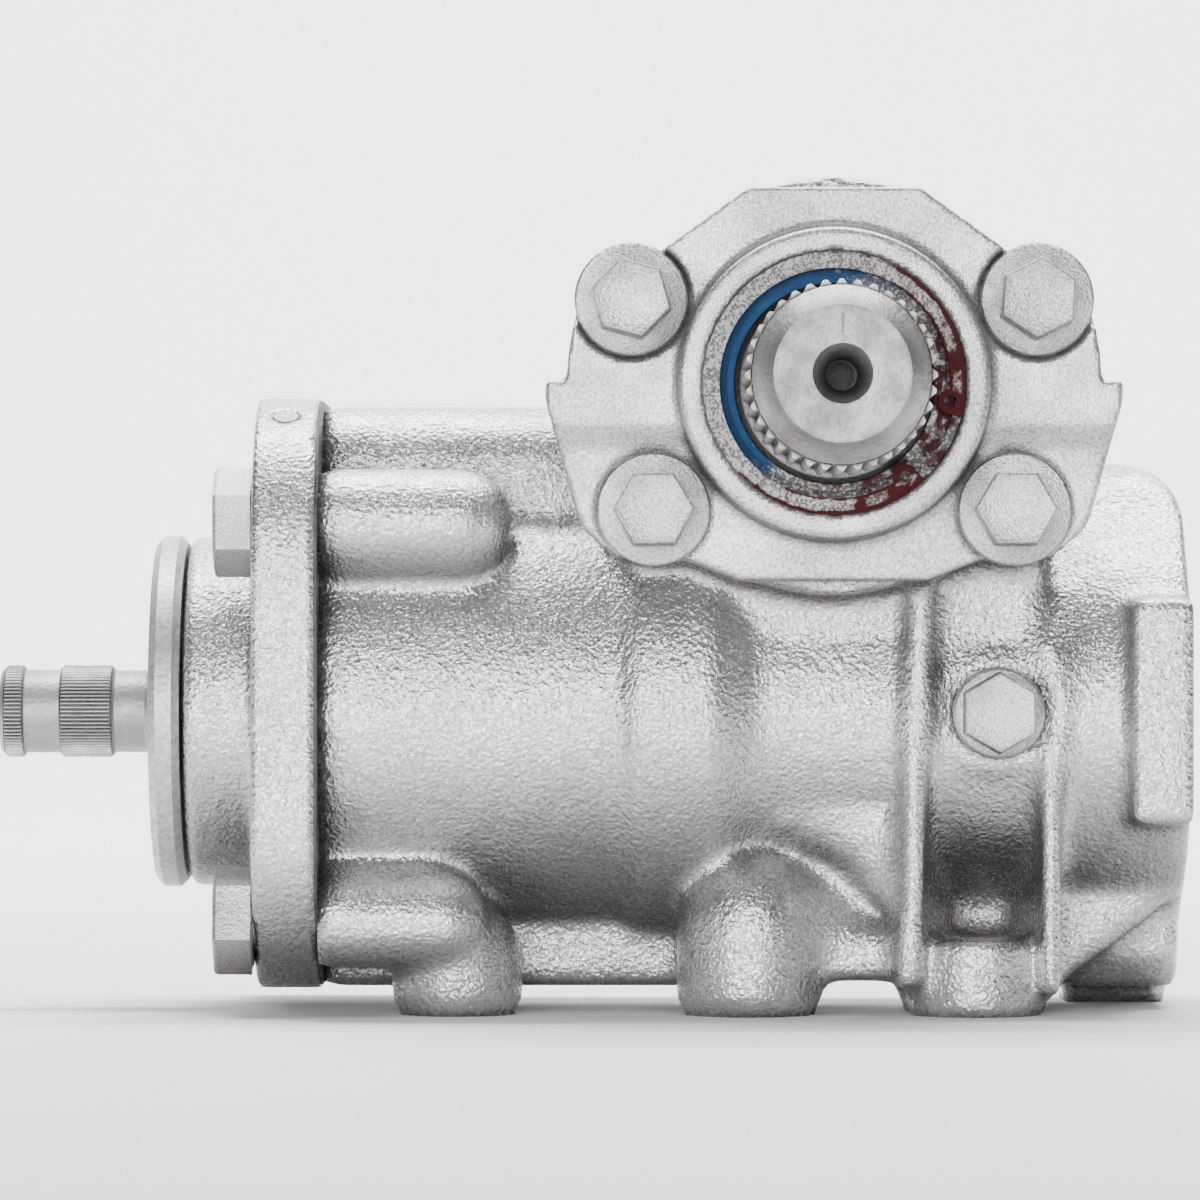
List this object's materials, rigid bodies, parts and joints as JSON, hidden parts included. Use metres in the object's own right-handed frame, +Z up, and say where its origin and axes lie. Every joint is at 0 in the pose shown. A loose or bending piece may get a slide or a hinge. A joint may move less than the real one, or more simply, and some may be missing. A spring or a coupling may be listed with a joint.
{
  "type": "steering gearbox",
  "caption": "Recirculating-ball power steering box: serrated input shaft turns a worm, whose rack piston swings a serrated output shaft through a gear sector.",
  "frame": {"origin": "bottom centre of the box around the part, on the plane of the mounting bosses", "axes": "+X from the serrated input end to the closed end, -Y towards the serrated end of the output shaft, +Z up from the mounting plane"},
  "size_m": [0.2438, 0.172, 0.1688],
  "materials": {
    "cast_paint": "silver paint on a rough casting",
    "cover_paint": "silver paint on a smooth casting",
    "bolt_paint": "silver paint on steel",
    "steel": "machined",
    "copper": "dull copper",
    "gasket": "pressed fibre",
    "black_rubber": "oily",
    "blue_rubber": "oily"
  },
  "bodies": {
    "box": {"housing": "cast_paint", "end_cover": "cast_paint", "end_cover_gasket": "gasket", "end_cover_bolts": "bolt_paint", "gallery_plug": "bolt_paint", "input_seal": "black_rubber", "bearing_outer_ring": "steel", "bearing_balls": "steel", "bearing_ring_nut": "steel", "output_bearing": "steel", "output_rollers": "steel", "inner_bearing": "steel", "inner_rollers": "steel", "sector_cover": "cover_paint", "cover_o_ring": "black_rubber", "cover_bolts": "bolt_paint", "output_seal": "blue_rubber", "seal_circlip": "steel", "adjuster_screw": "steel", "adjuster_lock_nut": "bolt_paint", "centre_plug": "bolt_paint", "plug_washer": "copper"},
    "worm": {"worm_shaft": "steel", "valve_sleeve": "steel", "bearing_inner_ring": "steel", "torsion_pin_rear": "steel"},
    "input": {"input_shaft": "bolt_paint", "torsion_bar": "steel", "torsion_pin_front": "steel"},
    "piston": {"rack_piston": "steel", "ball_nut": "steel", "nut_retainer": "steel", "recirculating_balls": "steel", "ball_return_tube": "steel", "piston_ring": "black_rubber"},
    "sector": {"sector_shaft": "steel", "adjuster_retainer": "steel"}
  },
  "joints": [
    {"name": "worm_spin", "type": "hinge", "parent": "box", "child": "worm", "pos_m": [-0.06, 0.02, 0.0613], "axis": [1, 0, 0], "range_deg": [-543, 543]},
    {"name": "piston_slide", "type": "slide", "parent": "box", "child": "piston", "axis": [1, 0, 0], "range_m": [-0.0201, 0.0201]},
    {"name": "sector_swing", "type": "hinge", "parent": "box", "child": "sector", "pos_m": [0.04885, 0, 0.1268], "axis": [0, 1, 0], "range_deg": [-36.2, 36.2]},
    {"name": "valve_twist", "type": "hinge", "parent": "worm", "child": "input", "pos_m": [-0.08, 0.02, 0.0613], "axis": [1, 0, 0], "range_deg": [-5, 5], "stiffness_Nm_per_rad": 60}
  ],
  "couplings": [
    {"joint": "worm_spin", "follows": "piston_slide", "rad_per_m": -468.89},
    {"joint": "sector_swing", "follows": "piston_slide", "rad_per_m": -31.25}
  ]
}
